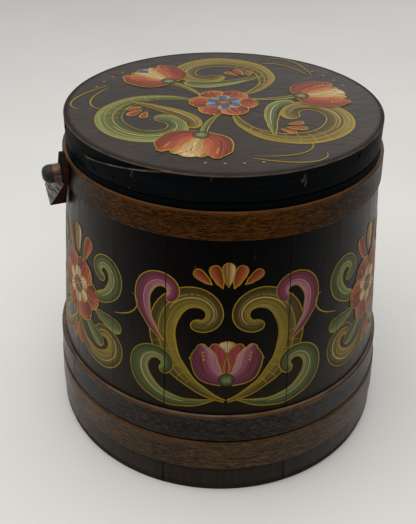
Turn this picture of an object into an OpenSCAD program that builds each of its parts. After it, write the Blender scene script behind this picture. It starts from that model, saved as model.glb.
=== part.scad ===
// Lidded staved bucket: tapered body of tongued staves held by three bentwood hoops,
// a bottom let into a groove, a lid of two boards in a lapped rim, and the two sawn-off
// ends of a swinging handle on their wooden pegs. All sizes are in mm, with the floor at z = 0.

/* [Body] */
// Length of a stave, from the floor to its top end
stave_h = 274; // [250:1:300]
// Outside diameter at the foot
foot_d = 301; // [290:1:314]
// Outside diameter of the taper at the top of the staves
mouth_d = 252; // [243:1:258]
// Depth of the step round the staves' tops that takes the lid's rim
seat_cut = 3.2; // [2:0.1:4]
// Thickness of a stave
stave_t = 12; // [10:0.5:15]
// How far the outside of the foot is eased in
foot_ease = 1.6; // [0.5:0.1:3]
// Height of the eased edge of the foot
foot_ease_h = 5; // [2:0.5:8]
// Joint between neighbouring staves that has dried open
stave_gap = 0.35; // [0.1:0.05:0.8]
// Joint between neighbouring staves that is still tight
tight_gap = 0.08; // [0.05:0.01:0.2]
// Length of the tongue on a stave's edge
tongue_len = 4; // [2.5:0.5:6]
// Play of a tongue in its groove
tongue_fit = 0.2; // [0.1:0.05:0.4]

/* [Bottom] */
// Height of the bottom's underside above the floor
bottom_z = 15; // [11:1:22]
// Thickness of the bottom boards
bottom_t = 10; // [8:0.5:14]
// Thickness of the bottom's thinned edge
edge_t = 6; // [4.5:0.5:7.5]
// Depth of the groove that holds the bottom
croze_depth = 4; // [3:0.5:5.5]
// Play of the bottom in its groove
croze_fit = 0.15; // [0.05:0.05:0.4]
// Width of the middle bottom board
bottom_board_w = 92; // [70:1:120]
// Open joint between boards, in the bottom and in the lid
board_gap = 0.3; // [0.1:0.05:0.6]

/* [Hoops] */
// Thickness of a hoop at its upper edge
hoop_t = 2.8; // [2.4:0.1:4]
// Thickness of a hoop at its lower edge
hoop_low_t = 1.8; // [1.4:0.1:2.4]
// Play between a hoop and the staves
hoop_fit = 0.12; // [0.05:0.01:0.3]
// Height of the top hoop
top_hoop_h = 21.6; // [18:0.1:25]
// Bare staves between the lid's rim and the top hoop
top_hoop_drop = 6.6; // [3:0.1:9]
// Height of the middle hoop
middle_hoop_h = 25.4; // [18:0.1:30]
// Height of the middle hoop's lower edge
middle_hoop_z = 55.5; // [54:0.5:80]
// Height of the bottom hoop
bottom_hoop_h = 27.9; // [20:0.1:28]
// Height of the bottom hoop's lower edge
bottom_hoop_z = 25.3; // [14:0.1:25.5]
// Extra thickness where a hoop's end laps over its start
lap_t = 1.6; // [1:0.1:2.4]
// Length of the narrowed tip of a lap
lap_tip = 34; // [20:1:50]

/* [Lid] */
// Thickness of the lid boards
lid_board_t = 11; // [9:0.5:14]
// Height of the lid's rim
lid_rim_h = 20.8; // [18:0.2:26]
// Thickness of the lid's rim
lid_rim_t = 3; // [2.4:0.1:4]
// Play of the lid's rim over the staves
lid_fit = 0.4; // [0.3:0.05:1]
// Space between the lid's rim and the step below it
rim_room = 1.2; // [0.5:0.1:2.5]
// Play between the lid boards and the ends of the staves
lid_seat = 0.03; // [0.02:0.01:0.2]
// Play of the boards inside the rim
lid_board_fit = 0.15; // [0.05:0.05:0.4]
// Direction of the joint between the two lid boards
lid_joint_turn = -55; // [-90:1:90]
// Step of the rim's lapped end
rim_lap_t = 1.5; // [0.8:0.1:2]
// Height of the blunt tip of the rim's lap
rim_lap_tip = 11; // [7:0.5:14]

/* [Handle ends] */
// Width of a handle end
strap_w = 20; // [16:1:24]
// Thickness of a handle end at its tip
strap_t = 3.5; // [3:0.25:5]
// Thickness of a handle end where it is sawn off
heel_t = 13; // [9:0.5:16]
// Space between the top hoop and a handle end
strap_gap = 0.6; // [0.4:0.1:2]
// Length from the peg to the sawn end
arm_len = 33; // [26:1:45]
// Length beyond the peg to the tip
strap_tip = 20; // [14:1:26]
// Clipped corner at the tip
strap_clip = 6; // [3:0.5:7.5]
// How far below level a handle end points
rest_deg = 56; // [40:1:80]
// Diameter of a peg's shank
peg_d = 10; // [8:0.5:11]
// Diameter of a peg's head
peg_head_d = 14.6; // [13:0.2:16]
// Length of a peg's head
peg_head_l = 14.4; // [10:0.2:16]
// Clearance round a peg's head in its seat
peg_seat = 0.4; // [0.2:0.1:1]
// Radial running clearance of a handle end on its peg
peg_run = 0.06; // [0.03:0.01:0.1]
// Radial clearance of a peg in its stave and hoop
peg_fit = 0.02; // [0.01:0.01:0.05]

/* [Nails] */
// Diameter of a tack or nail shank
nail_d = 1.8; // [1.4:0.1:2.2]
// Diameter of a tack or nail head
nail_head_d = 4.6; // [3.6:0.1:5.6]
// Height of a tack or nail head
nail_head_h = 0.8; // [0.5:0.1:1.2]
// Gap under a tack or nail head
nail_seat = 0.04; // [0.02:0.01:0.1]
// Radial clearance of a tack or nail in its hole
nail_fit = 0.03; // [0.01:0.01:0.06]

/* [Hidden] */
$fn = 96;
stave_n = 18;
stave_turn = 360 / stave_n;
foot_r = foot_d / 2;
taper = (foot_d - mouth_d) / 2 / stave_h;
big = 4 * foot_d;

// outside radius of the staves at height z
function cone_r(z) = foot_r - taper * z;
// outside radius of a hoop that starts at z, at a share of its height h
function hoop_r(share, z, h) =
    cone_r(z + share * h) + hoop_fit + hoop_low_t + (hoop_t - hoop_low_t) * share;
// angle that a length takes up on the middle of the wall
function arc_deg(len) = len / (foot_r - taper * stave_h / 2 - stave_t / 2) * 180 / PI;

// lid and top hoop follow the top of the staves
lid_top = stave_h + lid_board_t;
rim_z = lid_top - lid_rim_h;
seat_r = cone_r(rim_z) - seat_cut;
rim_in_r = seat_r + lid_fit;
rim_r = rim_in_r + lid_rim_t;
rim_lap_at = -163;
rim_lap_run = 35;
top_hoop_z = rim_z - top_hoop_drop - top_hoop_h;

// the bottom's edge and its groove
tongue_t = stave_t / 4;
bottom_r = cone_r(bottom_z + edge_t) - stave_t + croze_depth - croze_fit;

// handle ends: pivot at the middle of the top hoop
pivot_z = top_hoop_z + top_hoop_h / 2;
pad_x = max(hoop_r(0, top_hoop_z, top_hoop_h), hoop_r(1, top_hoop_z, top_hoop_h)) + strap_gap;

// lap directions: where each hoop's outer end lies, counted from +X
top_lap_at = 62;
middle_lap_at = 104;
bottom_lap_at = 48;
// angles along a lap that take a tack
tack_steps = [5, 13, 24];
// nails round the lid's rim, clear of its lap and of the board joint
rim_nails = [-62, -24, 12, 48, 84, 148, 176];
rim_lap_nails = [4, 13];
tack_len = hoop_t * 0.8;
rim_nail_len = lid_rim_t + lid_board_t * 0.7;
lap_nail_len = lid_rim_t * 0.5 + rim_lap_t;

function stave_name(i) = str("stave_", i < 10 ? "0" : "", i);

// a strip of the staves' wall between two depths below its outside, over an angle
module wall(from, to, start, turn) {
    rotate([0, 0, start])
        rotate_extrude(angle = turn)
            polygon([
                [cone_r(0) - to, 0],
                [cone_r(0) - from, 0],
                [cone_r(stave_h) - from, stave_h],
                [cone_r(stave_h) - to, stave_h]
            ]);
}

// the same strip drawn past both ends, for cutting
module wall_cut(from, to, start, turn) {
    rotate([0, 0, start])
        rotate_extrude(angle = turn)
            polygon([
                [cone_r(-2) - to, -2],
                [cone_r(-2) - from, -2],
                [cone_r(stave_h + 2) - from, stave_h + 2],
                [cone_r(stave_h + 2) - to, stave_h + 2]
            ]);
}

// the groove for the bottom and the bevel inside the foot
module croze() {
    low = bottom_z - croze_fit;
    high = bottom_z + edge_t + croze_fit;
    rotate_extrude()
        polygon([
            [foot_r / 2, low],
            [bottom_r + croze_fit, low],
            [bottom_r + croze_fit, high],
            [foot_r / 2, high]
        ]);
    rotate_extrude()
        polygon([
            [foot_r / 2, -1],
            [cone_r(0) - stave_t * 0.6, -1],
            [cone_r(0) - stave_t * 0.6, 0],
            [cone_r(0) - stave_t - 0.5, bottom_z * 0.6],
            [foot_r / 2, bottom_z * 0.6]
        ]);
}

// the worn outer edge of the foot
module foot_edge() {
    rotate_extrude()
        polygon([
            [foot_r - foot_ease, 0],
            [foot_r - foot_ease, -1],
            [foot_r + 1, -1],
            [foot_r + 1, foot_ease_h],
            [cone_r(foot_ease_h), foot_ease_h]
        ]);
}

// the step that lets the lid's rim down over the staves' tops
module lid_step() {
    rotate_extrude()
        polygon([
            [seat_r, rim_z - rim_room],
            [foot_r, rim_z - rim_room],
            [foot_r, stave_h + 2],
            [seat_r, stave_h + 2]
        ]);
}

// holes through stave and hoop for the two pegs
module peg_holes() {
    for (side = [0, 180])
        rotate([0, 0, side])
            translate([foot_r / 2, 0, pivot_z])
                rotate([0, 90, 0])
                    cylinder(r = peg_d / 2 + peg_fit, h = foot_r);
}

module stave(i) {
    mid = (i - 1) * stave_turn;
    ahead = arc_deg(i % 2 == 0 ? stave_gap : tight_gap);
    behind = arc_deg(i % 2 == 0 ? tight_gap : stave_gap);
    tongue = arc_deg(tongue_len);
    play = arc_deg(tongue_fit);
    skin = (stave_t - tongue_t) / 2;
    shade = 0.10 + 0.02 * (i % 3);
    color([shade + 0.05, shade + 0.02, shade])
        difference() {
            union() {
                wall(0, stave_t, mid - stave_turn / 2 + behind / 2, stave_turn - (ahead + behind) / 2);
                wall(skin, stave_t - skin, mid, stave_turn / 2 + tongue);
            }
            wall_cut(skin - tongue_fit, stave_t - skin + tongue_fit,
                mid - stave_turn / 2 - behind, tongue + play + behind);
            croze();
            foot_edge();
            lid_step();
            if (i == 1 || i == 1 + stave_n / 2) peg_holes();
        }
}

module bottom_disc() {
    shoulder = bottom_r - croze_depth * 1.5;
    rotate_extrude()
        polygon([
            [0, bottom_z],
            [bottom_r, bottom_z],
            [bottom_r, bottom_z + edge_t],
            [shoulder, bottom_z + edge_t],
            [shoulder - bottom_t, bottom_z + bottom_t],
            [0, bottom_z + bottom_t]
        ]);
}

module bottom_board(from, to) {
    color([0.42, 0.31, 0.20])
        intersection() {
            bottom_disc();
            translate([from, -big / 2, 0])
                cube([to - from, big, bottom_z + bottom_t + 5]);
        }
}

module bottom_board_left() {
    bottom_board(-big / 2, -bottom_board_w / 2 - board_gap / 2);
}

module bottom_board_middle() {
    bottom_board(-bottom_board_w / 2 + board_gap / 2, bottom_board_w / 2 - board_gap / 2);
}

module bottom_board_right() {
    bottom_board(bottom_board_w / 2 + board_gap / 2, big / 2);
}

// ring that lies on the staves' taper, thinner at its lower edge, with its outer edges eased
module hoop_ring(z, h) {
    ease = 0.7;
    rotate_extrude()
        polygon([
            [cone_r(z) + hoop_fit, z],
            [hoop_r(0, z, h) - ease, z],
            [hoop_r(ease / h, z, h), z + ease],
            [hoop_r(1 - ease / h, z, h), z + h - ease],
            [hoop_r(1, z, h) - ease, z + h],
            [cone_r(z + h) + hoop_fit, z + h]
        ]);
}

// plan of a lap, from its tip round to where it has thinned out
module lap_sector(z, h) {
    translate([0, 0, z - 1])
        linear_extrude(height = h + 2)
            polygon([
                [0, 0],
                [big, 0],
                [big * cos(40), big * sin(40)],
                [big * cos(84), big * sin(84)]
            ]);
}

// the hoop's outer end, set off to one side so that it thins out along the hoop
module hoop_lap(z, h, at) {
    rotate([0, 0, at])
        intersection() {
            difference() {
                translate([lap_t, 0, 0]) hoop_ring(z, h);
                rotate_extrude()
                    polygon([
                        [0, z - 1],
                        [cone_r(z - 1) + hoop_fit + hoop_low_t / 2, z - 1],
                        [cone_r(z + h + 1) + hoop_fit + hoop_low_t / 2, z + h + 1],
                        [0, z + h + 1]
                    ]);
            }
            lap_sector(z, h);
            rotate([90, 0, 90])
                linear_extrude(height = big)
                    polygon([
                        [-1, z + h * 0.26],
                        [lap_tip, z - 1],
                        [big, z - 1],
                        [big, z + h + 1],
                        [lap_tip, z + h + 1],
                        [-1, z + h * 0.74]
                    ]);
        }
}

// place things on a hoop's lap, square to its face
module on_lap(z, h, at) {
    lean = atan((hoop_r(0, z, h) - hoop_r(1, z, h)) / h);
    for (step = tack_steps)
        rotate([0, 0, at + step])
            translate([hoop_r(0.5, z, h) + lap_t * cos(step), 0, z + h / 2])
                rotate([0, 90 - lean, 0])
                    children();
}

// one tack or nail: domed head on a round shank that points back along -Z
module nail(len) {
    r = nail_head_d / 2;
    rotate_extrude()
        polygon([
            [0, -len],
            [nail_d / 2 * 0.5, -len],
            [nail_d / 2, -len + nail_d / 2],
            [nail_d / 2, nail_seat],
            [r, nail_seat],
            [r * 0.92, nail_head_h * 0.45],
            [r * 0.6, nail_head_h * 0.85],
            [0, nail_head_h]
        ]);
}

module nail_hole(len) {
    translate([0, 0, -len])
        cylinder(r = nail_d / 2 + nail_fit, h = len + nail_head_d);
}

module hoop(z, h, at) {
    difference() {
        union() {
            hoop_ring(z, h);
            hoop_lap(z, h, at);
        }
        on_lap(z, h, at) nail_hole(tack_len + nail_d / 6);
    }
}

module top_hoop() {
    color([0.45, 0.30, 0.13])
        difference() {
            hoop(top_hoop_z, top_hoop_h, top_lap_at);
            peg_holes();
        }
}

module middle_hoop() {
    color([0.16, 0.14, 0.13])
        hoop(middle_hoop_z, middle_hoop_h, middle_lap_at);
}

module bottom_hoop() {
    color([0.32, 0.22, 0.13])
        hoop(bottom_hoop_z, bottom_hoop_h, bottom_lap_at);
}

module top_hoop_tacks() {
    color([0.22, 0.2, 0.19])
        on_lap(top_hoop_z, top_hoop_h, top_lap_at) nail(tack_len);
}

module middle_hoop_tacks() {
    color([0.22, 0.2, 0.19])
        on_lap(middle_hoop_z, middle_hoop_h, middle_lap_at) nail(tack_len);
}

module bottom_hoop_tacks() {
    color([0.22, 0.2, 0.19])
        on_lap(bottom_hoop_z, bottom_hoop_h, bottom_lap_at) nail(tack_len);
}

// nails through the rim into the boards, and two short ones through the lap
module on_rim() {
    for (at = rim_nails)
        rotate([0, 0, at])
            translate([rim_r, 0, stave_h + lid_board_t / 2])
                rotate([0, 90, 0])
                    children(0);
}

module on_rim_lap() {
    for (step = rim_lap_nails)
        rotate([0, 0, rim_lap_at + step])
            translate([rim_r + rim_lap_t * cos(step), 0, rim_z + rim_lap_tip / 2])
                rotate([0, 90, 0])
                    children(0);
}

module lid_board(side) {
    color([0.17, 0.14, 0.12])
        difference() {
            intersection() {
                translate([0, 0, stave_h + lid_seat])
                    cylinder(r = rim_in_r - lid_board_fit, h = lid_board_t - lid_seat);
                rotate([0, 0, lid_joint_turn])
                    translate([-big / 2, side > 0 ? board_gap / 2 : -board_gap / 2 - big / 2, 0])
                        cube([big, big / 2, lid_top + 5]);
            }
            on_rim() nail_hole(rim_nail_len + nail_d / 2);
        }
}

module lid_board_left() {
    lid_board(-1);
}

module lid_board_right() {
    lid_board(1);
}

module lid_rim() {
    ease = 0.8;
    half = rim_r * sin(rim_lap_run / 2);
    color([0.09, 0.09, 0.11])
        difference() {
            union() {
                rotate_extrude()
                    polygon([
                        [rim_in_r, rim_z],
                        [rim_r - ease, rim_z],
                        [rim_r, rim_z + ease],
                        [rim_r, lid_top - ease],
                        [rim_r - ease, lid_top],
                        [rim_in_r, lid_top]
                    ]);
                // the lapped end: its top edge climbs from the blunt tip to the top of the rim
                rotate([0, 0, rim_lap_at])
                    intersection() {
                        difference() {
                            translate([rim_lap_t, 0, 0])
                                rotate_extrude()
                                    polygon([
                                        [0, rim_z],
                                        [rim_r - ease, rim_z],
                                        [rim_r, rim_z + ease],
                                        [rim_r, lid_top - ease],
                                        [rim_r - ease, lid_top],
                                        [0, lid_top]
                                    ]);
                            translate([0, 0, rim_z - 1])
                                cylinder(r = rim_in_r + lid_rim_t / 2, h = lid_rim_h + 2);
                        }
                        lap_sector(rim_z, lid_rim_h);
                        rotate([0, 0, rim_lap_run / 2])
                            rotate([90, 0, 90])
                                linear_extrude(height = big)
                                    polygon([
                                        [-half - 2, rim_z - 1],
                                        [big, rim_z - 1],
                                        [big, lid_top + 1],
                                        [half, lid_top + 1],
                                        [half, lid_top],
                                        [-half - 2, rim_z + rim_lap_tip]
                                    ]);
                    }
            }
            on_rim() nail_hole(rim_nail_len + nail_d / 2);
            on_rim_lap() nail_hole(lap_nail_len + nail_d / 6);
        }
}

module lid_rim_nails() {
    color([0.16, 0.15, 0.15]) {
        on_rim() nail(rim_nail_len);
        on_rim_lap() nail(lap_nail_len);
    }
}

// the slanting cuts on the tip of an upright handle end
module tip_cuts() {
    for (side = [-1, 1])
        translate([0, side * (strap_w / 2 - strap_clip), -strap_tip])
            rotate([side * 45, 0, 0])
                translate([0, -big / 2, -big])
                    cube([big, big, big]);
    translate([pad_x + strap_t * 0.35, 0, -strap_tip])
        rotate([0, -55, 0])
            translate([0, -big / 2, -big / 2])
                cube([big, big, big / 2]);
}

// what is left of one arm of the handle: a thin tip, a seat for the peg's head and a
// face that swells out to where the arm was sawn off
module handle_end() {
    color([0.30, 0.26, 0.22])
        translate([0, 0, pivot_z])
            rotate([-90 - rest_deg, 0, 0])
                difference() {
                    rotate([90, 0, 0])
                        linear_extrude(height = strap_w, center = true)
                            polygon([
                                [pad_x, -strap_tip],
                                [pad_x + strap_t, -strap_tip],
                                [pad_x + strap_t, strap_t],
                                [pad_x + heel_t, arm_len],
                                [pad_x, arm_len]
                            ]);
                    tip_cuts();
                    rotate([0, 90, 0])
                        cylinder(r = peg_d / 2 + peg_run, h = big);
                    translate([pad_x + strap_t, 0, 0])
                        rotate([0, 90, 0])
                            cylinder(r = peg_head_d / 2 + peg_seat, h = heel_t);
                }
}

module handle_end_left() {
    mirror([1, 0, 0]) handle_end();
}

module handle_end_right() {
    handle_end();
}

// a peg along +X: shank flush inside the stave, domed head outside the handle end
module peg() {
    inside = cone_r(pivot_z) - stave_t + 0.3;
    neck = pad_x + strap_t + 0.35;
    r = peg_head_d / 2;
    color([0.33, 0.22, 0.14])
        translate([0, 0, pivot_z])
            rotate([0, 90, 0])
                rotate_extrude()
                    polygon([
                        [0, inside],
                        [peg_d / 2 - 0.8, inside],
                        [peg_d / 2, inside + 0.8],
                        [peg_d / 2, neck],
                        [r * 0.96, neck],
                        [r, neck + 0.6],
                        [r, neck + peg_head_l * 0.62],
                        [r * 0.93, neck + peg_head_l * 0.76],
                        [r * 0.76, neck + peg_head_l * 0.89],
                        [r * 0.45, neck + peg_head_l * 0.97],
                        [0, neck + peg_head_l]
                    ]);
}

module peg_left() {
    mirror([1, 0, 0]) peg();
}

module peg_right() {
    peg();
}

for (i = [1:stave_n])
    stave(i);
bottom_board_left();
bottom_board_middle();
bottom_board_right();
top_hoop();
middle_hoop();
bottom_hoop();
top_hoop_tacks();
middle_hoop_tacks();
bottom_hoop_tacks();
lid_board_left();
lid_board_right();
lid_rim();
lid_rim_nails();
handle_end_left();
handle_end_right();
peg_left();
peg_right();
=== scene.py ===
from math import atan2, cos, hypot, pi, radians, sin, sqrt
from random import Random

import bmesh
import bpy
from mathutils import Matrix, Vector


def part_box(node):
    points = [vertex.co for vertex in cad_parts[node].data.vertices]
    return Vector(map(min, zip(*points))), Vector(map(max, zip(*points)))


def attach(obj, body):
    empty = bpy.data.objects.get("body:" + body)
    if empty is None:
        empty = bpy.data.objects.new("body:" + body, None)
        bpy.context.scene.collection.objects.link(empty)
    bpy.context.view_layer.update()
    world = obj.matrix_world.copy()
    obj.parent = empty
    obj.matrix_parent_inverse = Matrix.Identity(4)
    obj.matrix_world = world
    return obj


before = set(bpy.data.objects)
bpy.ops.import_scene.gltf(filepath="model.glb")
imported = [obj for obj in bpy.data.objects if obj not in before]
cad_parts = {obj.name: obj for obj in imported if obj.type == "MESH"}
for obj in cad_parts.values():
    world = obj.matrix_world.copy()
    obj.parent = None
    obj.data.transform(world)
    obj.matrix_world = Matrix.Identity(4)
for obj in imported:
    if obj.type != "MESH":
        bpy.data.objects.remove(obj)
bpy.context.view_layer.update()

scene = bpy.context.scene
MM = 0.001

# the side of the bucket that is turned to the photo
FRONT_TURN = radians(-23)
FRONT = (sin(FRONT_TURN), -cos(FRONT_TURN), 0)
# the photo's camera, before it is turned to that side: its place in metres, and its turns
CAMERA_SPOT = (0, -0.5717, 0.5118)
CAMERA_YAW, CAMERA_PITCH, CAMERA_ROLL = -0.01876, 0.58705, 0.01427
# its focal length and the photo's height in pixels, and a sensor height in mm
FOCAL, PHOTO_HIGH, SENSOR = 750, 524, 36

# body, mm: radius at the floor, and the loss of radius for each mm of height
FOOT_R, TAPER = 150.5, 24.5 / 274
# body's painting, mm: height of its middle, and the radius at which it is laid out flat
ART_MID, ART_R = 152, 134
# body's radius about the middle of the painting, and the turn from one open joint of the staves to the next
MID_R = 0.137
OPEN_TURN = radians(40)
# edges of the hoops that the staves' paint follows
BOTTOM_HOOP_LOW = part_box("bottom_hoop")[0][2]
MIDDLE_HOOP_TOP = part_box("middle_hoop")[1][2]
TOP_HOOP_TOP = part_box("top_hoop")[1][2]

# lid: height of its top in mm, radius of its boards, turn of their grain, and the way across their joint
LID_TOP = 285
LID_R = 0.12393
LID_GRAIN = (0, 0, radians(55))
LID_JOINT = (cos(radians(35)), sin(radians(35)), 0)
# lapped end of the lid's rim: direction of its middle, its climb, and its upper edge's height there
LAP_MID, LAP_CLIMB, LAP_LEVEL = radians(-145.5), 0.125, 0.2802

# handle ends: how far below level they point, and the pegs' height
ARM_DOWN = radians(56)
PEG_Z = 0.2468
# distance from the bucket's axis where a peg turns from brown to its dome's painted shade
PEG_BROWN_END, PEG_SHADE_START = 0.1428, 0.1436


def place_camera():
    """The camera stands where the photo was taken from."""
    ahead = Vector((sin(CAMERA_YAW) * cos(CAMERA_PITCH), cos(CAMERA_YAW) * cos(CAMERA_PITCH),
                    -sin(CAMERA_PITCH)))
    side = Vector((cos(CAMERA_YAW), -sin(CAMERA_YAW), 0))
    up = side.cross(ahead)
    right = side * cos(CAMERA_ROLL) + up * sin(CAMERA_ROLL)
    top = -side * sin(CAMERA_ROLL) + up * cos(CAMERA_ROLL)
    about = Matrix.Rotation(FRONT_TURN, 3, "Z")
    axes = Matrix((about @ right, about @ top, about @ -ahead)).transposed()
    data = bpy.data.cameras.new("photo_camera")
    data.sensor_fit = "VERTICAL"
    data.sensor_height = SENSOR
    data.lens = FOCAL / PHOTO_HIGH * SENSOR
    data.clip_start = 0.01
    cam = bpy.data.objects.new("photo_camera", data)
    cam.matrix_world = Matrix.Translation(about @ Vector(CAMERA_SPOT)) @ axes.to_4x4()
    scene.collection.objects.link(cam)
    scene.camera = cam


def tone(r, g, b):
    """A colour that is written as screen values, as light values."""
    def light(c):
        c /= 255
        return c / 12.92 if c <= 0.04045 else ((c + 0.055) / 1.055) ** 2.4
    return (light(r), light(g), light(b), 1)


def blend(a, b, f):
    return tuple(x + (y - x) * f for x, y in zip(a, b))


class Nodes:
    """Nodes of one tree. What is given as a socket is linked, and any other value is set."""

    def __init__(self, tree):
        self.tree = tree
        self.tree.nodes.clear()

    def add(self, kind, given=None, **props):
        node = self.tree.nodes.new(kind)
        for key, value in props.items():
            setattr(node, key, value)
        self.set(node, given or {})
        return node

    def set(self, node, given):
        for key, value in given.items():
            if isinstance(value, bpy.types.NodeSocket):
                self.tree.links.new(value, node.inputs[key])
            else:
                node.inputs[key].default_value = value

    def calc(self, operation, a, b=0.0):
        return self.add("ShaderNodeMath", {0: a, 1: b}, operation=operation).outputs[0]

    def plus(self, a, b):
        return self.calc("ADD", a, b)

    def times(self, a, b):
        return self.calc("MULTIPLY", a, b)

    def vector(self, operation, a, b=(0, 0, 0), result="Vector"):
        return self.add("ShaderNodeVectorMath", {0: a, 1: b}, operation=operation).outputs[result]

    def dot(self, a, b):
        return self.vector("DOT_PRODUCT", a, b, "Value")

    def ramp(self, value, low, high, to_low=0.0, to_high=1.0):
        """to_low at the value low, to_high at the value high, and an eased way between."""
        given = {"Value": value, "From Min": low, "From Max": high, "To Min": to_low, "To Max": to_high}
        return self.add("ShaderNodeMapRange", given, interpolation_type="SMOOTHSTEP").outputs[0]

    def band(self, value, start, full, fall, end):
        """1 from full to fall, and 0 before start and after end."""
        return self.times(self.ramp(value, start, full), self.ramp(value, end, fall))


class Shade(Nodes):
    """One material, on the object's own coordinates."""

    def __init__(self, name):
        self.mat = bpy.data.materials.new(name)
        self.mat.use_nodes = True
        super().__init__(self.mat.node_tree)
        self.skin = self.add("ShaderNodeBsdfPrincipled")
        self.add("ShaderNodeOutputMaterial", {"Surface": self.skin.outputs[0]})
        coordinates = self.add("ShaderNodeTexCoord").outputs
        self.place, self.normal = coordinates["Object"], coordinates["Normal"]

    def part(self, vector, axis):
        return self.add("ShaderNodeSeparateXYZ", {"Vector": vector}).outputs[axis]

    def height(self):
        return self.part(self.place, "Z")

    def noise(self, scale, detail, rough, twist=0.0, turn=(0, 0, 0), of=None):
        """Noise with a scale of its own along each axis."""
        where = self.add("ShaderNodeMapping", {"Vector": of or self.place, "Scale": scale, "Rotation": turn})
        given = {"Vector": where.outputs[0], "Scale": 1.0, "Detail": detail, "Roughness": rough,
                 "Distortion": twist}
        return self.add("ShaderNodeTexNoise", given).outputs["Fac"]

    def mix(self, factor, a, b, how="MIX"):
        node = self.add("ShaderNodeMix", data_type="RGBA", blend_type=how)
        self.set(node, {0: factor, 6: a, 7: b})
        return node.outputs[2]

    def level(self):
        """The level way from the bucket's axis to a spot."""
        return self.vector("MULTIPLY", self.place, (1, 1, 0))

    def outward(self):
        """How far a face looks away from the bucket's axis, from -1 to 1."""
        return self.dot(self.normal, self.vector("NORMALIZE", self.level()))

    def toward(self, way):
        """How far a spot lies towards a side of the bucket, from -1 to 1."""
        return self.dot(self.vector("NORMALIZE", self.level()), way)

    def joint_lines(self, base, open_wide, open_depth, tight_wide, tight_depth):
        """Dark lines over the staves' joints, which are open and tight by turns."""
        turn = self.calc("ARCTAN2", self.part(self.place, "Y"), self.part(self.place, "X"))
        turn = self.calc("DIVIDE", turn, OPEN_TURN)
        for start, wide, depth in ((0.75, open_wide, open_depth), (0.25, tight_wide, tight_depth)):
            away = self.calc("PINGPONG", self.calc("SUBTRACT", turn, start), 0.5)
            split = wide / (OPEN_TURN * MID_R)
            base = self.mix(self.ramp(away, split, split * 0.4, 0.0, depth), base, tone(3, 2, 2))
        return base

    def bare_inside(self, base, facing, scale):
        """Unpainted wood on the faces that look inwards or down."""
        grain = self.noise(scale, 4, 0.62, 0.4)
        wood = self.mix(self.ramp(grain, 0.32, 0.7), tone(84, 62, 41), tone(138, 107, 74))
        return self.mix(self.ramp(facing, -0.8, -0.9), base, wood)

    def bump(self, value, strength, distance):
        given = {"Height": value, "Strength": strength, "Distance": distance}
        self.set(self.skin, {"Normal": self.add("ShaderNodeBump", given).outputs[0]})

    def finish(self, colour, rough, **rest):
        self.set(self.skin, {"Base Color": colour, "Roughness": rough})
        self.set(self.skin, {key.replace("_", " "): value for key, value in rest.items()})
        return self.mat


def stave_paint():
    """Painted wood of the body: nearly black, with brown showing in upright streaks."""
    s = Shade("stave_paint")
    z = s.height()
    grain = s.noise((130, 130, 4), 4, 0.6)
    fine = s.noise((620, 620, 10), 3, 0.6)
    cloud = s.noise((16, 16, 5), 3, 0.5)
    each = s.add("ShaderNodeObjectInfo").outputs["Random"]
    base = s.mix(s.ramp(grain, 0.45, 0.75), tone(3, 2, 2), tone(15, 9, 6))
    streak = s.times(s.ramp(cloud, 0.5, 0.72), s.ramp(fine, 0.3, 0.7, 0.2, 0.8))
    base = s.mix(streak, base, tone(32, 18, 11))
    base = s.mix(s.times(each, 0.3), base, tone(18, 11, 8))
    # painted shade makes it blacker above; browner below, partly as painted light bounced from the floor;
    # and worn at the foot
    base = s.mix(s.ramp(z, 0.1, 0.2, 0.0, 0.95), base, tone(2, 1, 1))
    base = s.mix(s.ramp(z, 0.17, 0.09, 0.0, 0.8), base, tone(27, 18, 8))
    worn = s.times(s.ramp(z, 0.027, 0.02), s.ramp(grain, 0.32, 0.68, 0.25, 0.85))
    base = s.mix(worn, base, tone(42, 34, 27))
    # painted shade along the hoops' edges, and dark lines in the joints
    over, under = MIDDLE_HOOP_TOP, BOTTOM_HOOP_LOW
    for edges in ((over - 0.004, over, over + 0.0005, over + 0.004),
                  (under - 0.0055, under - 0.001, under, under + 0.006)):
        base = s.mix(s.times(s.band(z, *edges), 0.6), base, tone(6, 5, 5))
    base = s.joint_lines(base, 0.0013, 0.85, 0.0007, 0.4)
    # the strip under the lid's rim has the rim's coat, above a black line of painted shade just over the top
    # hoop
    base = s.mix(s.ramp(z, TOP_HOOP_TOP + 0.0012, TOP_HOOP_TOP + 0.0022), base, tone(7, 10, 12))
    nick = s.ramp(s.noise((260, 260, 70), 2, 0.5), 0.74, 0.79)
    base = s.mix(s.times(nick, 0.45), base, tone(92, 72, 56))
    base = s.bare_inside(base, s.outward(), (150, 150, 5))
    s.bump(s.plus(grain, s.times(fine, 0.5)), 0.22, 0.0006)
    # the foot's edge and the strip under the lid's rim are dull
    rough = s.plus(s.ramp(fine, 0.3, 0.75, 0.28, 0.44), s.ramp(z, 0.009, 0.005, 0.0, 0.5))
    rough = s.plus(rough, s.ramp(z, TOP_HOOP_TOP - 0.001, TOP_HOOP_TOP + 0.002, 0.0, 0.7))
    return s.finish(base, rough, Specular_IOR_Level=0.34, Specular_Tint=(0.04, 0.04, 0.04, 1))


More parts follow.
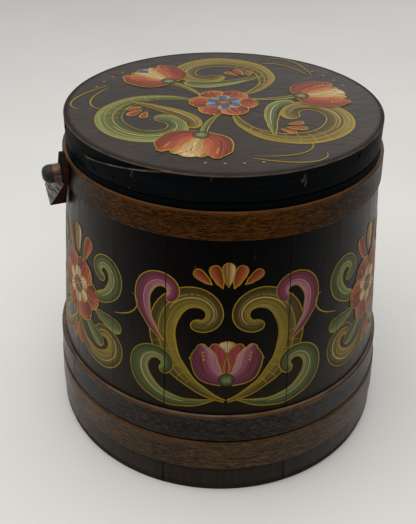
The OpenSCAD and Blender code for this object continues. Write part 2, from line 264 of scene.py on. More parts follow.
def hoop_wood(name, node, dark, light, rust, bare, fleck, wear, depth, gloss, dim=0.0):
    """Stained hoop wood: short pores along the hoop, broad patches, edges worn bare, and a painted grey
    sheen away from the front.
    """
    low, high = (corner[2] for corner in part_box(node))
    s = Shade(name)
    z = s.height()
    front = s.toward(FRONT)
    grain = s.noise((70, 70, 460), 4, 0.65, 0.6)
    pores = s.noise((150, 150, 1500), 2, 0.55)
    cloud = s.noise((15, 15, 40), 4, 0.62)
    fray = s.noise((34, 34, 160), 4, 0.68)
    mottle = s.noise((230, 230, 1000), 4, 0.7)
    base = s.mix(s.ramp(grain, 0.34, 0.68), dark, light)
    base = s.mix(s.times(s.ramp(cloud, 0.44, 0.66), 0.6), base, dark)
    # painted sheen: away from the front the stain is painted greyer by dim, as a grey reflection
    base = s.mix(s.ramp(front, 0.95, 0.6, 0.0, dim), base, tone(27, 30, 27))
    base = s.mix(s.ramp(mottle, 0.5, 0.6, 0.0, 0.85), base, blend(dark, tone(0, 0, 0), 0.6))
    base = s.mix(s.ramp(mottle, 0.48, 0.36, 0.0, 0.75), base, blend(light, bare, 0.4))
    base = s.mix(s.times(s.ramp(pores, 0.55, 0.66), fleck), base, tone(12, 9, 7))
    base = s.mix(s.times(s.ramp(pores, 0.44, 0.35), fleck * 0.3), base, bare)
    # stain rubbed through below the upper edge, deeper in places and most of all at the front
    reach = s.plus(z, s.times(s.ramp(fray, 0.3, 0.7, -1.0, 1.0), depth * 0.7))
    handled = s.ramp(front, 0.45, 0.9, 0.3 * wear, wear)
    patch = s.times(s.ramp(cloud, 0.36, 0.6, 0.25, 1.0), handled)
    base = s.mix(s.times(s.ramp(reach, high - depth * 1.6, high - depth * 0.6), patch), base, rust)
    # bare wood on the upper face and in places along the lower edge
    upward = s.ramp(s.part(s.normal, "Z"), 0.8, 0.95)
    base = s.mix(s.times(upward, s.ramp(fray, 0.34, 0.62, 0.35, 1.0)), base, bare)
    hem = s.times(s.ramp(z, low + 0.0011, low + 0.0004), s.ramp(fray, 0.35, 0.65, 0.0, 0.6))
    base = s.mix(hem, base, bare)
    s.bump(s.plus(s.times(grain, 0.5), pores), 0.25, 0.0005)
    rough = s.ramp(cloud, 0.3, 0.75, 0.3, 0.46)
    return s.finish(base, rough, Specular_IOR_Level=gloss, Specular_Tint=(0.15, 0.15, 0.15, 1))


def lid_paint():
    """Lid boards: dark brown-grey, hand-rubbed, with faint lines along the boards."""
    s = Shade("lid_paint")
    grain = s.noise((26, 420, 60), 4, 0.6, turn=LID_GRAIN)
    fine = s.noise((60, 900, 60), 3, 0.55, turn=LID_GRAIN)
    cloud = s.noise((13, 13, 13), 4, 0.55)
    base = s.mix(s.ramp(grain, 0.35, 0.75), tone(29, 22, 16), tone(45, 35, 27))
    base = s.mix(s.times(s.ramp(cloud, 0.42, 0.72), 0.6), base, tone(53, 40, 31))
    scratch = s.ramp(s.noise((900, 30, 60), 2, 0.5, turn=(0, 0, radians(20))), 0.74, 0.78)
    base = s.mix(s.times(scratch, 0.35), base, tone(96, 84, 74))
    # the dark lines where the boards meet each other and the rim
    across = s.calc("ABSOLUTE", s.dot(s.place, LID_JOINT))
    base = s.mix(s.ramp(across, 0.0007, 0.0003, 0.0, 0.8), base, tone(10, 8, 7))
    out = s.vector("LENGTH", s.level(), result="Value")
    base = s.mix(s.ramp(out, LID_R - 0.0022, LID_R - 0.0014), base, tone(10, 8, 7))
    base = s.bare_inside(base, s.part(s.normal, "Z"), (30, 160, 60))
    s.bump(s.plus(grain, s.times(fine, 0.6)), 0.16, 0.0005)
    rough = s.ramp(fine, 0.3, 0.75, 0.36, 0.54)
    return s.finish(base, rough, Specular_IOR_Level=0.33, Specular_Tint=(0.3, 0.3, 0.3, 1))


def rim_paint(name, lapped):
    """Rim of the lid: blue-black and dull, with chips, and bare wood along the lapped end."""
    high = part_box("lid_rim")[1][2]
    s = Shade(name)
    z = s.height()
    grain = s.noise((14, 14, 380), 4, 0.6)
    cloud = s.noise((18, 18, 40), 4, 0.6)
    fray = s.noise((90, 90, 260), 4, 0.65)
    chip = s.ramp(s.noise((120, 120, 60), 4, 0.68), 0.67, 0.71)
    base = s.mix(s.ramp(grain, 0.4, 0.72), tone(2, 4, 6), tone(6, 10, 12))
    base = s.mix(s.times(s.ramp(cloud, 0.5, 0.75), 0.4), base, tone(13, 15, 15))
    # the upper edge has the lid's brown coat, and its arris is lighter: partly rubbed wood, partly a painted
    # highlight
    crown = s.times(s.ramp(s.part(s.normal, "Z"), 0.3, 0.6), s.ramp(z, high - 0.003, high - 0.0015))
    base = s.mix(crown, base, tone(42, 35, 29))
    arris_wear_and_highlight = s.ramp(s.calc("ABSOLUTE", s.calc("SUBTRACT", z, high - 0.0006)), 0.0006, 0.0003)
    rub = s.times(arris_wear_and_highlight, s.ramp(fray, 0.3, 0.65, 0.1, 0.55))
    wear = s.calc("MAXIMUM", s.times(chip, 0.32), rub)
    if lapped:
        # the lapped end's upper edge climbs evenly along the tangent at its middle
        way = s.dot(s.place, (-sin(LAP_MID), cos(LAP_MID), 0))
        above = s.calc("SUBTRACT", z, s.plus(s.times(way, LAP_CLIMB), LAP_LEVEL))
        line = s.ramp(s.calc("ABSOLUTE", s.plus(above, 0.0005)), 0.0008, 0.0003)
        edge = s.times(s.times(line, s.band(way, -0.043, -0.039, 0.016, 0.036)),
                       s.ramp(s.outward(), 0.6, 0.85))
        wear = s.calc("MAXIMUM", wear, s.times(edge, s.ramp(fray, 0.34, 0.56, 0.3, 1.0)))
    # bare wood on the chips and the lap's edge; on the arris, rubbed wood and painted highlight
    base = s.mix(wear, base, tone(104, 90, 76))
    base = s.bare_inside(base, s.outward(), (20, 20, 300))
    s.bump(s.plus(grain, s.times(chip, -0.8)), 0.25, 0.0006)
    return s.finish(base, s.ramp(cloud, 0.3, 0.7, 0.46, 0.64), Specular_IOR_Level=0.03)


def handle_wood():
    """Handle ends: bare grey wood on the face that swells out, dark round the peg, brown in painted shade on
    the edges.
    """
    s = Shade("handle_wood")
    turn = (ARM_DOWN, 0, 0)
    grain = s.noise((560, 34, 560), 4, 0.65, 0.3, turn)
    crack = s.noise((900, 40, 900), 3, 0.6, turn=turn)
    dark = s.mix(s.ramp(grain, 0.35, 0.7), tone(9, 9, 9), tone(34, 33, 33))
    grey = s.mix(s.ramp(grain, 0.36, 0.66), tone(74, 70, 66), tone(152, 147, 140))
    grey = s.mix(s.ramp(crack, 0.57, 0.66, 0.0, 0.8), grey, tone(30, 27, 25))
    # the edges: raw brown wood, painted darker as shade
    brown = s.mix(s.ramp(grain, 0.35, 0.7), tone(34, 18, 11), tone(66, 38, 23))
    slope = s.dot(s.normal, (0, -cos(ARM_DOWN), sin(ARM_DOWN)))
    from_peg = s.vector("SUBTRACT", s.place, (0, 0, PEG_Z))
    down = s.dot(from_peg, (0, -cos(ARM_DOWN), -sin(ARM_DOWN)))
    face = s.mix(s.times(s.ramp(slope, 0.12, 0.26), s.ramp(down, 0.001, 0.004)), dark, grey)
    sideways = s.calc("ABSOLUTE", s.part(s.normal, "X"))
    base = s.mix(s.ramp(sideways, 0.35, 0.75), brown, face)
    s.bump(s.plus(grain, s.times(crack, -0.7)), 0.5, 0.0008)
    return s.finish(base, s.ramp(grain, 0.3, 0.7, 0.75, 0.95), Specular_IOR_Level=0.01)


def peg_wood():
    """Pegs: brown shank and side of the head, with the dome painted near black as shade."""
    s = Shade("peg_wood")
    grain = s.noise((60, 420, 420), 4, 0.62)
    blot = s.noise((260, 260, 260), 3, 0.6)
    brown = s.mix(s.ramp(grain, 0.35, 0.7), tone(58, 36, 23), tone(128, 92, 64))
    # painted shade: the dome, turned from the light, is painted near black
    dome_shade = s.mix(s.ramp(blot, 0.4, 0.7), tone(12, 12, 14), tone(38, 36, 38))
    out = s.calc("ABSOLUTE", s.part(s.place, "X"))
    reach = s.plus(out, s.times(blot, 0.002))
    base = s.mix(s.ramp(reach, PEG_BROWN_END, PEG_SHADE_START), brown, dome_shade)
    s.bump(s.plus(grain, blot), 0.25, 0.0005)
    return s.finish(base, s.ramp(blot, 0.3, 0.7, 0.38, 0.55), Specular_IOR_Level=0.25)


def bottom_wood():
    """Bare boards of the bottom."""
    s = Shade("bottom_wood")
    dark = tone(96, 72, 48)
    grain = s.noise((420, 14, 60), 4, 0.62, 0.4)
    fine = s.noise((1260, 42, 180), 3, 0.6)
    base = s.mix(s.ramp(grain, 0.32, 0.7), dark, tone(150, 118, 82))
    base = s.mix(s.ramp(fine, 0.58, 0.72, 0.0, 0.6), base, dark)
    s.bump(s.plus(grain, fine), 0.35, 0.0006)
    return s.finish(base, s.ramp(fine, 0.3, 0.7, 0.45, 0.7))


def tack_iron():
    """Iron with rust spots."""
    s = Shade("tack_iron")
    spots = s.noise((700, 700, 700), 3, 0.6)
    base = s.mix(s.ramp(spots, 0.4, 0.65), tone(38, 34, 33), tone(74, 52, 40))
    s.bump(spots, 0.3, 0.0003)
    return s.finish(base, s.ramp(spots, 0.35, 0.65, 0.45, 0.7), Metallic=0.7)


def brushed_paint(name, split):
    """Oil paint of the painting: laid down stroke by stroke, with bristle marks along each stroke."""
    s = Shade(name)
    laid = s.add("ShaderNodeVertexColor", layer_name="paint").outputs["Color"]
    stroke = s.add("ShaderNodeUVMap", uv_map="stroke").outputs[0]
    hair = s.noise((22, 900, 1), 3, 0.6, of=stroke)
    broad = s.noise((30, 260, 1), 2, 0.5, of=stroke)
    base = s.mix(s.ramp(hair, 0.3, 0.72, 0.0, 0.55), laid, tone(26, 20, 16), "MULTIPLY")
    base = s.mix(s.ramp(broad, 0.5, 0.75, 0.0, 0.30), base, tone(232, 214, 170), "SOFT_LIGHT")
    rub = s.ramp(s.noise((240, 240, 240), 4, 0.65), 0.66, 0.74)
    base = s.mix(s.times(rub, 0.55), base, tone(40, 31, 27))
    if split:
        # the paint has split over the staves' joints
        base = s.joint_lines(base, 0.0007, 0.9, 0.0005, 0.6)
    s.bump(hair, 0.3, 0.0004)
    rough = s.ramp(hair, 0.3, 0.75, 0.38, 0.6)
    return s.finish(base, rough, Specular_IOR_Level=0.3, Specular_Tint=(0.3, 0.3, 0.3, 1))


def coat_pieces():
    """One material for each kind of CAD piece."""
    iron = tack_iron()
    coats = {
        "stave": stave_paint(),
        "bottom_board": bottom_wood(),
        # the top hoop is painted greyer away from the front, as a painted sheen
        "top_hoop": hoop_wood(
            "amber_hoop", "top_hoop",
            dark=tone(44, 24, 2), light=tone(86, 48, 4), rust=tone(92, 52, 14), bare=tone(98, 70, 46),
            fleck=0.4, wear=0.45, depth=0.0012, gloss=0.1, dim=0.85),
        "middle_hoop": hoop_wood(
            "dark_hoop", "middle_hoop",
            dark=tone(15, 13, 10), light=tone(34, 29, 23), rust=tone(92, 60, 30), bare=tone(106, 90, 76),
            fleck=0.45, wear=0.85, depth=0.0022, gloss=0.26),
        "bottom_hoop": hoop_wood(
            "brown_hoop", "bottom_hoop",
            dark=tone(39, 28, 14), light=tone(90, 65, 35), rust=tone(88, 60, 32), bare=tone(92, 70, 50),
            fleck=0.85, wear=0.45, depth=0.0034, gloss=0.3),
        "top_hoop_tacks": iron,
        "middle_hoop_tacks": iron,
        "bottom_hoop_tacks": iron,
        "lid_board": lid_paint(),
        "lid_rim": rim_paint("rim_paint", True),
        "lid_rim_nails": rim_paint("rim_nail_paint", False),
        "handle_end": handle_wood(),
        "peg": peg_wood(),
    }
    for name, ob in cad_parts.items():
        kind = name.rstrip("0123456789_")
        for place in ("_left", "_middle", "_right"):
            kind = kind.removesuffix(place)
        ob.data.materials.clear()
        ob.data.materials.append(coats[kind])


# paints of the painting, with a darker (D) and a lighter (L) one
OLIVE, OLIVE_D, OLIVE_L = tone(98, 80, 20), tone(58, 46, 11), tone(140, 122, 50)
GREEN, GREEN_D, GREEN_L = tone(80, 91, 43), tone(46, 55, 27), tone(126, 136, 84)
RUST, RUST_D, RUST_L = tone(142, 58, 28), tone(100, 36, 18), tone(176, 98, 60)
MAUVE, MAUVE_D, MAUVE_L = tone(122, 56, 74), tone(88, 34, 50), tone(178, 128, 138)
OCHRE, OCHRE_D = tone(172, 122, 62), tone(96, 72, 36)
BLUE, BLUE_L = tone(70, 84, 118), tone(150, 156, 166)
CREAM, STRAW, YELLOW = tone(200, 176, 134), tone(182, 164, 112), tone(162, 134, 6)
ROSE, WINE = tone(146, 58, 62), tone(80, 20, 24)
# brush loads: the paints across a stroke, from its right edge to its left edge
OLIVE_LOAD, GREEN_LOAD = [OLIVE_L, OLIVE, OLIVE_D], [GREEN_L, GREEN, GREEN_D]
RUST_LOAD, MAUVE_LOAD = [RUST_L, RUST, RUST_D], [MAUVE_L, MAUVE, MAUVE_D]
CREAM_LOAD, OCHRE_LOAD = [OCHRE, CREAM, CREAM], [CREAM, OCHRE, OCHRE_D]
BLUE_LOAD, ROSE_LOAD = [BLUE_L, BLUE, BLUE], [ROSE, ROSE, MAUVE_D]
# heights, mm: of one coat over the next, a stroke's crown, the lines on it, and a flower's heart
COAT, CROWN, LINE, DOME = 0.055, 0.025, 0.04, 0.1
# half widths, mm: the thinnest end of a stroke, its outline, and the rungs across it
THINNEST, OUTLINE, RUNG = 0.12, 0.42, 0.3


def along(values, u):
    """A value or paint between the listed ones, eased."""
    f = min(max(u, 0), 1) * (len(values) - 1)
    i = min(int(f), len(values) - 2)
    f -= i
    f = f * f * (3 - 2 * f)
    a, b = values[i], values[i + 1]
    return blend(a, b, f) if isinstance(a, tuple) else a + (b - a) * f


def turning(a, b):
    """The turn from one heading to another, at most half a turn either way."""
    return (b - a + pi) % (2 * pi) - pi


def polar(r, a, x=0, y=0):
    """The spot at a distance and a direction, in degrees, from another."""
    return x + r * cos(radians(a)), y + r * sin(radians(a))


def evenly(points, n=64):
    """The same line as n + 1 spots at even steps, each with its heading."""
    runs = [0.0]
    for a, b in zip(points, points[1:]):
        runs.append(runs[-1] + hypot(b[0] - a[0], b[1] - a[1]))
    spots, j = [], 0
    for i in range(n + 1):
        want = runs[-1] * i / n
        while j < len(points) - 2 and runs[j + 1] < want:
            j += 1
        f = (want - runs[j]) / max(runs[j + 1] - runs[j], 1e-9)
        a, b = points[j], points[j + 1]
        spots.append((a[0] + (b[0] - a[0]) * f, a[1] + (b[1] - a[1]) * f))
    out = []
    for i, (x, y) in enumerate(spots):
        p, q = spots[max(i - 1, 0)], spots[min(i + 1, n)]
        out.append((x, y, atan2(q[1] - p[1], q[0] - p[0])))
    return out


def run(x, y, head, length, bends=(0.0, 0.0)):
    """A line whose bend, per mm, changes evenly between the listed values."""
    n, a, points = 96, radians(head), []
    ds = length / n
    for i in range(n + 1):
        points.append((x, y))
        f = (i + 0.5) / n * (len(bends) - 1)
        j = min(int(f), len(bends) - 2)
        k = bends[j] + (bends[j + 1] - bends[j]) * (f - j)
        x, y = x + cos(a + k * ds / 2) * ds, y + sin(a + k * ds / 2) * ds
        a += k * ds
    return evenly(points)


class Brush:
    """Strokes on one surface. press(x, y, lift) gives a point in metres for a spot in mm."""

    def __init__(self, name, press, body, coat, slot, seed):
        self.name, self.press, self.body, self.coat, self.slot = name, press, body, coat, slot
        self.bm = bmesh.new()
        self.colour = self.bm.verts.layers.float_color.new("paint")
        self.uv = self.bm.loops.layers.uv.new("stroke")
        self.luck = Random(seed)
        self.layer = 0
        self.motif(0, 0)
        self.motion(0, 0, 0)

    def motif(self, x, y, turn=0.0, flip=False):
        """Where the next strokes' own axes lie."""
        self.at, self.turn, self.flip = (x, y), radians(turn), -1 if flip else 1

    def motion(self, x, y, head):
        """A further shift and turn inside the motif."""
        self.inner = (x, y, radians(head))

    def spot(self, x, y, lift):
        """The point on the surface for a spot on the strokes' own axes."""
        ix, iy, ia = self.inner
        x, y = ix + cos(ia) * x - sin(ia) * y, iy + sin(ia) * x + cos(ia) * y
        x *= self.flip
        c, s = cos(self.turn), sin(self.turn)
        return self.press(self.at[0] + c * x - s * y, self.at[1] + s * x + c * y, lift)

    def sheet(self, nu, nv, where, colour, closed=False):
        """One grid, u from 0 to 1 and v from -1 to 1. where(u, v) gives x, y, lift and two lengths, mm."""
        made = bmesh.ops.create_grid(self.bm, x_segments=nu, y_segments=nv, size=0.5)["verts"]
        start = (self.luck.random() * 9, self.luck.random() * 9)
        base = COAT * (self.layer + 0.6)
        marks = {}
        for p in made:
            u, v = p.co.x + 0.5, p.co.y * 2
            x, y, lift, du, dv = where(u, v)
            p.co = self.spot(x, y, base + lift)
            p[self.colour] = colour(u, v)
            marks[p] = (start[0] + du * MM, start[1] + dv * MM)
        for face in {f for p in made for f in p.link_faces}:
            if self.flip < 0:
                face.normal_flip()
            for corner in face.loops:
                corner[self.uv].uv = marks[corner.vert]
        if closed:
            # the seam and the middle of a round sheet
            bmesh.ops.remove_doubles(self.bm, verts=made, dist=1e-6)

    def stroke(self, path, widths, load, veins=(), rungs=None):
        """A stroke along a path, round at its end. widths are half widths, and load the paints across it."""
        steps = len(path) - 1
        length = sum(hypot(b[0] - a[0], b[1] - a[1]) for a, b in zip(path, path[1:]))
        reach = widths[-1] / length
        # the turn over four steps of the path
        bends = [turning(path[max(i - 2, 0)][2], path[min(i + 2, steps)][2]) for i in range(steps + 1)]

        def half(u):
            w = along(widths, u)
            if 1 - u < reach:
                w = min(w, widths[-1] * sqrt(max(1 - (1 - (1 - u) / reach) ** 2, 0.0004)))
            return max(w, THINNEST)

        def off(u, v):
            f = min(max(u, 0), 1) * steps
            i = min(int(f), steps - 1)
            f -= i
            (ax, ay, aa), (bx, by, ba) = path[i], path[i + 1]
            a, d = aa + turning(aa, ba) * f, half(u)
            bend = (bends[i] + (bends[i + 1] - bends[i]) * f) * steps / (4 * length)
            if bend * v > 0:
                # inside a curl the stroke ends short of the curl's middle
                d = d / sqrt(1 + (1.6 * d * bend) ** 4) ** 0.5
            return ax + (bx - ax) * f - sin(a) * v * d, ay + (by - ay) * f + cos(a) * v * d

        def where(u, v):
            u = 1 - (1 - u) ** 1.25
            return (*off(u, v), CROWN * (1 - v * v), u * length, v * half(u))

        self.sheet(max(10, min(44, int(length / 2.4))), 6, where, lambda u, v: along(load, (v + 1) / 2))
        for v, start, end, paint, wide in veins:
            self.ribbon([off(start + (end - start) * i / 24, v) for i in range(25)], wide, paint)
        if rungs:
            start, end, count = rungs
            for i in range(count):
                u = start + (end - start) * i / (count - 1)
                rung = [off(u + 0.012 * (1 - v * v), v) for v in (-0.92, -0.5, 0, 0.5, 0.92)]
                self.ribbon(rung, RUNG, YELLOW)
        for v in (-1, 1):
            self.ribbon([off(1 - (1 - i / 48) ** 1.6, v) for i in range(49)], OUTLINE, YELLOW, even=True)

    def ribbon(self, points, wide, paint, even=False, closed=False):
        """A liner stroke through the points, thinner at both ends unless it is even."""
        n = len(points) - 1

        def where(u, v):
            i = min(int(u * n + 0.5), n)
            if closed:
                a, b = points[(i - 1) % n], points[(i + 1) % n]
            else:
                a, b = points[max(i - 1, 0)], points[min(i + 1, n)]
            dx, dy = b[0] - a[0], b[1] - a[1]
            long = hypot(dx, dy) or 1
            w = v * wide * (1 if even else 0.3 + 0.7 * sin(pi * min(max(u, 0.02), 0.98)) ** 0.6)
            return points[i][0] - dy / long * w, points[i][1] + dx / long * w, LINE, u * 30, w

        self.sheet(n, 1, where, lambda u, v: paint, closed)

    def liner(self, path):
        """A thin yellow line along a path."""
        self.ribbon([p[:2] for p in path[::2]], 0.55, YELLOW)

    def disc(self, x, y, r, inner, outer):
        """A round spot whose paint runs from its middle to its edge, with a dark ring."""
        def where(u, v):
            a, f = -2 * pi * u, (v + 1) / 2
            return x + cos(a) * r * f, y + sin(a) * r * f, DOME * (1 - f * f), r * f, a * r

        self.sheet(28, 5, where, lambda u, v: along([inner, outer], (v + 1) / 2), closed=True)
        ring = [(x + cos(pi * i / 16) * r, y + sin(pi * i / 16) * r) for i in range(33)]
        self.ribbon(ring, 0.35, WINE, even=True, closed=True)

    def dot(self, x, y, r, paint, lift=LINE):
        """A small round dab."""
        def where(u, v):
            a, d = -2 * pi * u, r * (v + 1) / 2
            return x + cos(a) * d, y + sin(a) * d, lift + 0.01 * (1 - v), u * 3, v

        self.sheet(10, 1, where, lambda u, v: paint, closed=True)

    def done(self):
        """The strokes become one piece that rides on a body."""
        me = bpy.data.meshes.new(self.name)
        self.bm.to_mesh(me)
        self.bm.free()
        me.shade_smooth()
        me.materials.append(self.coat)
        ob = bpy.data.objects.new(self.name, me)
        scene.collection.objects.link(ob)
        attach(ob, self.body)


def handed(load, hand):
    """A load for a stroke on one side, with its paints the other way round on the other side."""
    return load if hand > 0 else load[::-1]


def drop(b, x, y, head, length, wide, load, bend=0.0):
    """A teardrop: pointed where it starts and round where it ends."""
    b.stroke(run(x, y, head, length, [bend, bend]), [0.2, wide * 0.7, wide, wide], load)


def rosette(b, x, y, r, outer, inner):
    """A round flower: six big petals, six small ones and a dotted heart."""
    veins = [(0.0, 0.35, 0.8, WINE, 0.4), (0.5, 0.4, 0.74, WINE, 0.3), (-0.5, 0.4, 0.74, WINE, 0.3)]
    for i in range(6):
        a = 60 * i
        b.layer = 5 + i % 2
        b.stroke(run(*polar(r * 0.2, a, x, y), a, r * 0.82), [r * 0.14, r * 0.36, r * 0.46, r * 0.44], outer,
                 veins)
        for d in (-13, 0, 13):
            b.dot(*polar(r * 0.92, a + d, x, y), r * 0.032, YELLOW)
    b.layer = 7
    for i in range(6):
        a = 60 * (i + 0.5)
        b.stroke(run(*polar(r * 0.1, a, x, y), a, r * 0.46), [r * 0.08, r * 0.18, r * 0.2], inner)
    b.layer = 8
    b.disc(x, y, r * 0.24, OCHRE, OCHRE_D)
    for i in range(7):
        b.dot(*polar(r * 0.13 if i < 6 else 0, 60 * i, x, y), r * 0.035, WINE, DOME)


def tulip(b, x, y, head, r, outer, inner, core):
    """A flower from the side: a striped core, two inner petals, and two outer ones with tips bent out."""
    b.motion(x, y, head)
    b.layer = 5
    b.stroke(run(0, 0, 0, r * 1.22), [r * 0.24, r * 0.5, r * 0.46, r * 0.3], core,
             veins=[(f, 0.2, 0.86, WINE, 0.35) for f in (-0.6, -0.2, 0.2, 0.6)])
    for hand in (1, -1):
        bow = hand / r
        b.layer = 6
        b.stroke(run(0, hand * 0.05 * r, hand * 40, r * 1.2, [-1.3 * bow, -0.6 * bow, 0.9 * bow]),
                 [r * 0.16, r * 0.32, r * 0.3, r * 0.12], handed(inner, hand))
        b.layer = 7
        b.stroke(run(0, hand * 0.1 * r, hand * 78, r * 1.34, [-2.1 * bow, -1.1 * bow, 1.6 * bow]),
                 [r * 0.2, r * 0.36, r * 0.34, r * 0.14], handed(outer, hand),
                 veins=[(hand * 0.25, 0.3, 0.8, WINE, 0.35)])
        for f in (0.55, 0.68, 0.8):
            b.dot(r * (0.16 + f * 0.86), hand * r * (0.52 + 0.12 * f), r * 0.035, YELLOW)
    b.layer = 8
    b.disc(0, 0, r * 0.2, GREEN_L, GREEN_D)
    b.motion(0, 0, 0)


def paint_lid(b):
    """Three scrolls with a tulip each, round a rosette."""
    for turn, big, small, core in ((80, OLIVE_LOAD, GREEN_LOAD, CREAM_LOAD),
                                   (200, GREEN_LOAD, OLIVE_LOAD, BLUE_LOAD),
                                   (320, OLIVE_LOAD, GREEN_LOAD, CREAM_LOAD)):
        b.motif(0, 0, turn)
        b.layer = 1
        b.stroke(run(18, -9, -45, 205, [0.012, 0.024, 0.026, 0.026, 0.05, 0.085]),
                 [1.2, 4, 7.5, 10, 11, 10, 8.5, 7.5], big,
                 veins=[(-0.3, 0.14, 0.8, YELLOW, 0.4), (0.3, 0.2, 0.86, OLIVE_L, 0.6),
                        (0.05, 0.55, 0.93, STRAW, 0.45)],
                 rungs=(0.16, 0.46, 7))
        b.layer = 2
        b.stroke(run(68.5, -22, 134, 74, [0.0, -0.004, -0.008, -0.03, -0.13]), [0.8, 3.6, 5.6, 6.4, 6],
                 small[::-1], veins=[(0.2, 0.25, 0.85, STRAW, 0.45)])
        # the tulip, its stem and its two leaves
        b.layer = 3
        b.stroke(run(12.7, -20.4, -80, 42.5, [0.012, 0.012]), [1, 2.2, 2.6], GREEN_LOAD)
        flower_turn = -64
        flower = polar(66, flower_turn)
        for hand in (1, -1):
            drop(b, *flower, flower_turn + hand * 74, 30, 5.6, handed(GREEN_LOAD, hand), -0.02 * hand)
        tulip(b, *flower, flower_turn, 31, RUST_LOAD, OCHRE_LOAD, core)
        b.layer = 4
        for x, y, head, size in ((65, -10, 8, 13), (66, -5, 34, 16), (64, 0, 62, 13)):
            drop(b, x, y, head, size, size * 0.22, RUST_LOAD)
        b.liner(run(*polar(103, -38), 24, 62, [0.006, 0.010, 0.03, 0.12]))
        b.liner(run(*polar(100, -36), 40, 62, [0.002, 0.02, 0.05, 0.16]))
        for i in range(4):
            b.dot(*polar(110, 64 + 7 * i), 1.1, OCHRE)
    b.motif(0, 0)
    rosette(b, 0, 0, 27, RUST_LOAD, BLUE_LOAD)


def lyre(b, x, flower):
    """A pair of scrolls that stand like a lyre, with a tulip between them."""
    for flip in (False, True):
        b.motif(x, 0, 0, flip)
        b.layer = 1
        b.stroke(run(1, -57, 23, 172, [0.01, 0.012, 0.018, 0.03, 0.07, 0.12]),
                 [1.2, 4, 7.5, 10, 10.5, 9, 6.8, 5.2], OLIVE_LOAD[::-1],
                 veins=[(0.35, 0.16, 0.8, YELLOW, 0.4), (-0.3, 0.2, 0.9, OLIVE_L, 0.6),
                        (0.0, 0.6, 0.93, STRAW, 0.45)],
                 rungs=(0.18, 0.46, 7))
        b.layer = 2
        b.stroke(run(8, -55, -22, 122, [0.008, 0.02, 0.03, 0.045, 0.09, 0.15]),
                 [0.8, 3.4, 6, 8, 7.4, 5.8, 4.6], GREEN_LOAD[::-1], veins=[(0.2, 0.2, 0.88, STRAW, 0.5)])
        b.layer = 3
        b.stroke(run(48, -6, 46, 90, [0.01, 0.015, 0.03, 0.06, 0.1, 0.17]),
                 [0.8, 3.4, 6, 7, 5.8, 4.6], MAUVE_LOAD[::-1], veins=[(0.2, 0.2, 0.88, MAUVE_L, 0.45)])
        b.layer = 4
        for sx, sy, head, size in ((4, 45, 68, 20), (12, 48, 40, 17),
                                   (28, -18, 150, 17), (24, -30, 160, 14)):
            drop(b, sx, sy, head, size, size * 0.22, RUST_LOAD)
    b.motif(x, 0)
    drop(b, 0, 46, 90, 20, 4.6, OCHRE_LOAD)
    tulip(b, 0, -36, 90, 29, flower, ROSE_LOAD, CREAM_LOAD)


def posy(b, x, flower, inner):
    """A rosette with leaves, a pair of low scrolls and three drops on top."""
    for flip in (False, True):
        b.motif(x, 0, 0, flip)
        b.layer = 1
        b.stroke(run(1, -22, -72, 105, [0.015, 0.03, 0.045, 0.06, 0.1, 0.17]),
                 [0.8, 3.4, 6, 8, 7.6, 6, 4.8], OLIVE_LOAD[::-1],
                 veins=[(0.3, 0.16, 0.86, YELLOW, 0.4), (-0.2, 0.3, 0.9, STRAW, 0.45)])
        b.layer = 2
        b.stroke(run(20, 8, 6, 83, [0.015, 0.03, 0.05, 0.08, 0.13, 0.19]),
                 [2, 5, 6.6, 6.8, 5.6, 4.4], GREEN_LOAD[::-1], veins=[(0.2, 0.2, 0.88, STRAW, 0.5)])
        b.layer = 3
        for sx, sy, head, size, load in ((12, -16, -38, 30, GREEN_LOAD), (24, -4, -12, 32, GREEN_LOAD),
                                         (9, 32, 66, 25, RUST_LOAD), (2, -30, -78, 20, RUST_LOAD)):
            drop(b, sx, sy, head, size, size * 0.2, load)
        b.liner(run(48, 4, 16, 40, [0.0, 0.03, 0.08, 0.16]))
    b.motif(x, 0)
    drop(b, 0, 34, 90, 26, 5.2, OCHRE_LOAD)
    rosette(b, 0, 5, 30, flower, inner)


def on_body(x, y, lift):
    z = ART_MID + y
    r = FOOT_R - TAPER * z + lift
    a = x / ART_R
    return Vector((r * sin(a), -r * cos(a), z)) * MM


def on_lid(x, y, lift):
    c, s = cos(FRONT_TURN), sin(FRONT_TURN)
    return Vector((x * c - y * s, x * s + y * c, LID_TOP + lift)) * MM


def paint_pieces():
    """The painting: one piece on the lid, and lyres and posies by turns round the body."""
    lid = Brush("lid_painting", on_lid, "lid", brushed_paint("lid_art", False), "lid_paint", 7)
    paint_lid(lid)
    lid.done()
    coat = brushed_paint("body_art", True)
    units = ((lyre, MAUVE_LOAD), (posy, RUST_LOAD, CREAM_LOAD), (lyre, RUST_LOAD),
             (posy, MAUVE_LOAD, BLUE_LOAD), (lyre, MAUVE_LOAD), (posy, RUST_LOAD, CREAM_LOAD))
    for i, (draw, *loads) in enumerate(units):
        body = Brush(f"body_painting_{i + 1}", on_body, "bucket", coat, "stave_paint", 11 + i)
        draw(body, ART_R * radians(60 * i - 20), *loads)
        body.done()


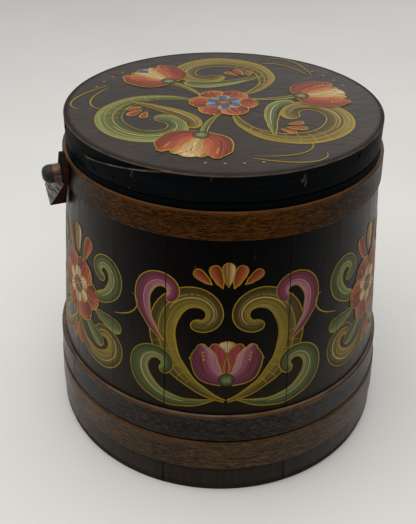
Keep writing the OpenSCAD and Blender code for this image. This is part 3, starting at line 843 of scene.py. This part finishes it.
def set_stage():
    """A pale floor, a soft overhead sheet of light, two weaker lights and a pale surround."""
    bm = bmesh.new()
    bmesh.ops.create_grid(bm, x_segments=1, y_segments=1, size=40)
    me = bpy.data.meshes.new("floor")
    bm.to_mesh(me)
    bm.free()
    ob = bpy.data.objects.new("floor", me)
    scene.collection.objects.link(ob)
    s = Shade("floor_plaster")
    cloud = s.ramp(s.noise((3, 3, 3), 4, 0.55), 0.35, 0.7)
    me.materials.append(s.finish(s.mix(cloud, tone(218, 217, 214), tone(222, 221, 218)), 0.55))
    for name, spot, size, power, aim in (("overhead", (-0.15, -0.15, 1.5), 1.5, 17, (0, 0, 0.1)),
                                         ("window", (-1.4, 0.5, 0.9), 1.0, 4, (0, 0, 0.15)),
                                         ("wall", (1.2, 0.9, 0.8), 1.2, 2, (0, 0, 0.15))):
        data = bpy.data.lights.new(name, "AREA")
        data.size = size
        data.energy = power
        data.color = (1.0, 0.975, 0.935)
        lamp = bpy.data.objects.new(name, data)
        lamp.location = spot
        lamp.rotation_euler = (Vector(aim) - Vector(spot)).to_track_quat("-Z", "Y").to_euler()
        scene.collection.objects.link(lamp)
    scene.world = bpy.data.worlds.new("surround")
    scene.world.use_nodes = True
    w = Nodes(scene.world.node_tree)
    # the room is dim on the side of the camera and pale on the other sides
    way = w.add("ShaderNodeTexCoord").outputs["Generated"]
    dim = w.ramp(w.dot(way, (FRONT[0], FRONT[1], -0.25)), -0.1, 0.85, 1.0, 0.3)
    light = w.add("ShaderNodeBackground", {"Color": dim, "Strength": 0.5})
    # a plain pale backdrop where the surround is seen, in reflections too
    seen = w.add("ShaderNodeBackground", {"Color": tone(214, 215, 215)})
    ray = w.add("ShaderNodeLightPath").outputs
    shown = w.calc("MAXIMUM", ray["Is Camera Ray"], ray["Is Glossy Ray"])
    shown = w.calc("MAXIMUM", shown, ray["Is Transmission Ray"])
    both = w.add("ShaderNodeMixShader", {0: shown, 1: light.outputs[0], 2: seen.outputs[0]})
    w.add("ShaderNodeOutputWorld", {"Surface": both.outputs[0]})


place_camera()
coat_pieces()
paint_pieces()
set_stage()
scene.view_settings.view_transform = "Standard"
